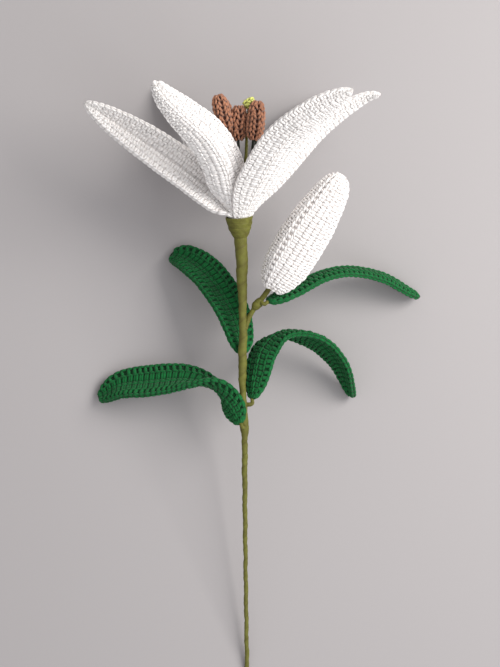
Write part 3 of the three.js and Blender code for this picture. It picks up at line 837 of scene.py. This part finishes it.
def wound_tape(name, knots, radius_at, material, lap=5.5 * MM, step=0.22 * MM, lump=0.12 * MM, bore=0.0,
               spacing=0.55 * MM, sides=20):
    """Tape wound on a wire, as a round section carried along a path. Its radius is radius_at(s) plus a
    sawtooth, step high, that falls once for each lap of tape, plus three slow waves for its lumps. The
    laps wander: a slow wave along the tape and a small one round it move each edge a little. Where it
    has a bore, its first end is open for a few millimetres to show the wire."""
    line = smooth_line(knots)
    length = run_lengths(line)[-1]
    count = int(length / spacing) + 2
    lean = np.array([0.3, 0, 1.0])
    _, share, stations = along_spine(knots, lambda share, along: lean, count)
    centre, _, up, across = np.split(stations, 4, axis=1)
    s = (share * length)[:, None]
    turn = (2 * np.pi * np.arange(sides) / sides)[None]
    wander = 0.22 * np.sin(2 * np.pi * s / (3.7 * lap))
    phase = s / lap + turn / (2 * np.pi) + wander + 0.05 * np.sin(3 * turn)
    part = phase - np.floor(phase)
    saw = np.where(part < 0.86, part / 0.86, (1 - part) / 0.14)
    waves = [(23.0, 1, hand.uniform(0, 6)), (9.0, -2, hand.uniform(0, 6)), (4.3, 1, hand.uniform(0, 6))]
    lumps = sum(np.sin(2 * np.pi * s / (w * MM) + k * turn + p) / (1 + i)
                for i, (w, k, p) in enumerate(waves))
    ends = np.clip(np.minimum(s, length - s) / (1.2 * MM), 0, 1)**0.5
    relief = (step * (saw - 0.6) + lump * lumps / 2) * (0.4 + 0.6 * ends)
    radius = radius_at(s) - 0.15 * MM * (1 - ends) + relief
    ring = across[:, None] * np.cos(turn)[..., None] + up[:, None] * np.sin(turn)[..., None]
    points = centre[:, None] + ring * radius[..., None]
    travel = share * length / lap
    if bore:
        depth = [4, 0]
        inner = centre[depth, None] + ring[depth] * bore
        points = np.concatenate([inner, points])
        travel = np.concatenate([travel[depth], travel])
    weave = Weave()
    add_rings(weave, points, 1.0, travel)
    return weave.piece(name, material)


for i, (degrees, foot, tip) in enumerate(STAMENS, 1):
    foot, tip = placed([foot, tip])
    direction = unit(tip - foot)
    path = [in_cup(degrees, 2.3, -9.5), in_cup(degrees, 2.3, 0), in_cup(degrees, 4.6, 12),
            foot - 9.3 * MM * direction, foot + 1.5 * MM * direction]
    filament = wound_tape(f"filament_{i}_wound", path, lambda s: 0.85 * MM + 0 * s, dark_tape, 3 * MM,
                          0.1 * MM, 0.05 * MM, spacing=0.5 * MM, sides=10)
    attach(filament, "root")
    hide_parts(f"filament_{i}")


# ---- pistil: a wire wound with olive tape, with a yellow-green crocheted stigma across its top ----
# It stands in the middle of the stamens and rises a little above them.
style_path = [in_cup(0, 0, -9.5), in_cup(0, 0, 2),
              *placed([(-2.8, 111, 74), (-2, 130, 74), (-0.8, 145, 76.2)])]
style = wound_tape("style_wound", style_path, lambda s: np.interp(s, [0.05, 0.07], [1.05 * MM, 0.85 * MM]),
                   olive_tape, 4 * MM, 0.12 * MM, 0.06 * MM, sides=12)
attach(style, "root")
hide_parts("style")

# The second colour is the lime yarn's painted shade, for the gaps between stitches and the core.
lime_yarn = yarn_material("lime_yarn", (0.68, 0.72, 0.20), (0.42, 0.43, 0.09), 0.15 * MM)
stigma = braided_rod("stigma_crochet", *placed([(-4, 145, 77), (3.2, 149, 78)]), 2.2 * MM, 2.1 * MM, 4,
                     2.5 / 3.9, 0.95 * MM, lime_yarn)
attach(stigma, "root")
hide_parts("stigma")


# ---- cup: a cone of olive tape wound over the feet of the petals and stamens ----
# The laps go straight round it, each a little further out than the one below, and pinch in at its foot.
def wound_cup():
    """A profile of radius against height, turned about the cup's axis: up the outside over four laps,
    over the rim and down the inside. Each lap adds a small step, and two waves round it add creases."""
    above = np.concatenate([np.linspace(-13.4, 0.3, 70), np.linspace(0.2, -8, 20)])
    outer = np.interp(above[:70], [-13.4, -12.7, -8.3, -3, 0, 0.3], [4.3, 4.75, 6.9, 8.2, 8.75, 8.6])
    part = (above[:70] / 3.3) % 1
    outer = outer + 0.22 * np.where(part < 0.85, part / 0.85, (1 - part) / 0.15)
    inner = np.interp(above[70:], [-8, 0.2], [5.8, 8.0])
    radius = np.concatenate([outer, inner])[:, None]
    turn = (np.pi / 2 - 2 * np.pi * np.arange(48) / 48)[None]
    crease = 0.10 * np.sin(5 * turn + above[:, None]) + 0.07 * np.sin(11 * turn - 1.7 * above[:, None])
    radius = radius + crease
    out = np.cos(turn)[..., None] * CUP_RIGHT + np.sin(turn)[..., None] * CUP_UP
    points = CUP_CENTRE + MM * (above[:, None, None] * CUP_AXIS + radius[..., None] * out)
    weave = Weave()
    add_rings(weave, points, 1.0, above / 3.3)
    return weave.piece("cup_wound", olive_tape)


cup = wound_cup()
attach(cup, "root")
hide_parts("cup_tape")


# ---- stems: olive floral tape wound over the wires ----
# The main stem is thickest at the bloom, swells where leaf wires are bound in, and below the leaves is
# only a taped wire, cut square. The side stem leaves it for the bud.
STEM_KNOTS = [*placed([
    (-2, -226, 1.5), (-3, -150.5, 17.5), (-3.5, -90, 30.5), (-3.5, -67.5, 35.5), (-4.5, -43.5, 40.5),
    (-5, -24, 44.5), (-4.5, 2.5, 50), (-5, 28, 55.5), (-5.5, 54, 61)]), in_cup(0, 0, -13)]
STEM_PLACES = [-226, -150, -108, -88, -68, -61, -52, -37, -28, -15, 14, 23, 40, 60, 80]
STEM_RADII = [1.43, 1.43, 1.65, 1.9, 2.0, 3.2, 2.6, 2.1, 2.6, 2.85, 2.5, 2.85, 3.75, 4.2, 4.2]
STEM_JOIN = 0.545
stem_line = smooth_line(STEM_KNOTS)
stem_lengths = run_lengths(stem_line)
stem_length = stem_lengths[-1]


def stem_stretch(start, end, count):
    """Evenly spaced points of the main stem's middle line between two shares of its length."""
    return list(carried(stem_line, stem_lengths, np.linspace(start, end, count) * stem_length))


def stem_radius(start):
    """The main stem's radius at a distance along a stretch of it that starts at a share of its length."""
    def radius_at(s):
        height = np.interp(start * stem_length + s, stem_lengths, stem_line[:, 1]) - maker_origin[1]
        return MM * np.interp(height / MM, STEM_PLACES, STEM_RADII)
    return radius_at


def taped(name, knots, radius_at, node, **wind):
    """A wound length of olive tape that stands for a CAD node, or for nothing where node is empty."""
    piece = wound_tape(name, knots, radius_at, olive_tape, **wind)
    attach(piece, "root")
    if node:
        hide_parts(node)
    return piece


taped("stem_lower_wound", stem_stretch(0, STEM_JOIN, 13), stem_radius(0), "stem_tape_lower",
      lap=8 * MM, step=0.2 * MM, lump=0.3 * MM, bore=1.0 * MM)
taped("stem_upper_wound", stem_stretch(STEM_JOIN - 0.004, 1, 13), stem_radius(STEM_JOIN - 0.004),
      "stem_tape_upper", lap=12 * MM, step=0.2 * MM, lump=0.3 * MM, sides=28)

SIDE_KNOTS = placed([(-0.8, 9.8, 51.6), (0.8, 13, 52.5), (4, 18, 53.8), (8, 23, 55.5), (11.6, 28, 58.6)])
side_line = smooth_line(SIDE_KNOTS)
side_lengths = run_lengths(side_line)
taped("side_stem_wound", [*placed([(-3.5, 2, 50.2)]), *SIDE_KNOTS, *placed([(14.5, 32, 60.6)])],
      lambda s: np.interp(s, [0, 0.03], [1.5 * MM, 1.75 * MM]), "side_stem_tape", lap=4 * MM)
knot_path = list(carried(side_line, side_lengths, np.linspace(0.31, 0.66, 5) * side_lengths[-1]))
taped("tape_knot_wound", knot_path, lambda s: MM * np.interp(s / MM, [0, 2, 5, 8], [2.0, 2.95, 3.0, 2.1]),
      "tape_knot", lap=3 * MM, step=0.3 * MM, lump=0.25 * MM)

# Each leaf's wire is bound to a stem by its own short length of tape.
for name, (turns, through) in LEAVES.items():
    spine = smooth_line(placed(through))
    away = unit(spine[0] - spine[12])
    side_leaf = name == "leaf_upper_right"
    host = side_line if side_leaf else stem_line
    reach = spine[0] + away * 4 * MM
    joined = host[np.argmin(np.linalg.norm(host - reach, axis=1))]
    shank = [spine[0] - away * 3 * MM, spine[0], spine[0] + away * 3 * MM, joined]
    taped(name + "_shank", shank, lambda s: np.interp(s, [0, 0.01], [1.15 * MM, 1.5 * MM]), None,
          lap=3 * MM, step=0.2 * MM)


# ---- what lies inside: bare florist wires, and the loose fibre that fills the bud ----
# Only the cut end of the main wire can be seen.
def wire_material():
    """Drawn steel wire with faint mottled marks."""
    material = plain_material("florist_wire", (0.42, 0.42, 0.43), 0.38, 0.12, 700.0)
    material.node_tree.nodes["Principled BSDF"].inputs["Metallic"].default_value = 1
    return material


florist_wire = wire_material()
loose_fibre = plain_material("loose_fibre", (0.86, 0.86, 0.85), 1.0, 0.1, 1200.0)
for name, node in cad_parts.items():
    inner = florist_wire if name.endswith("_wire") else loose_fibre
    if name.endswith("_wire") or name == "bud_stuffing":
        node.data.materials.clear()
        node.data.materials.append(inner)
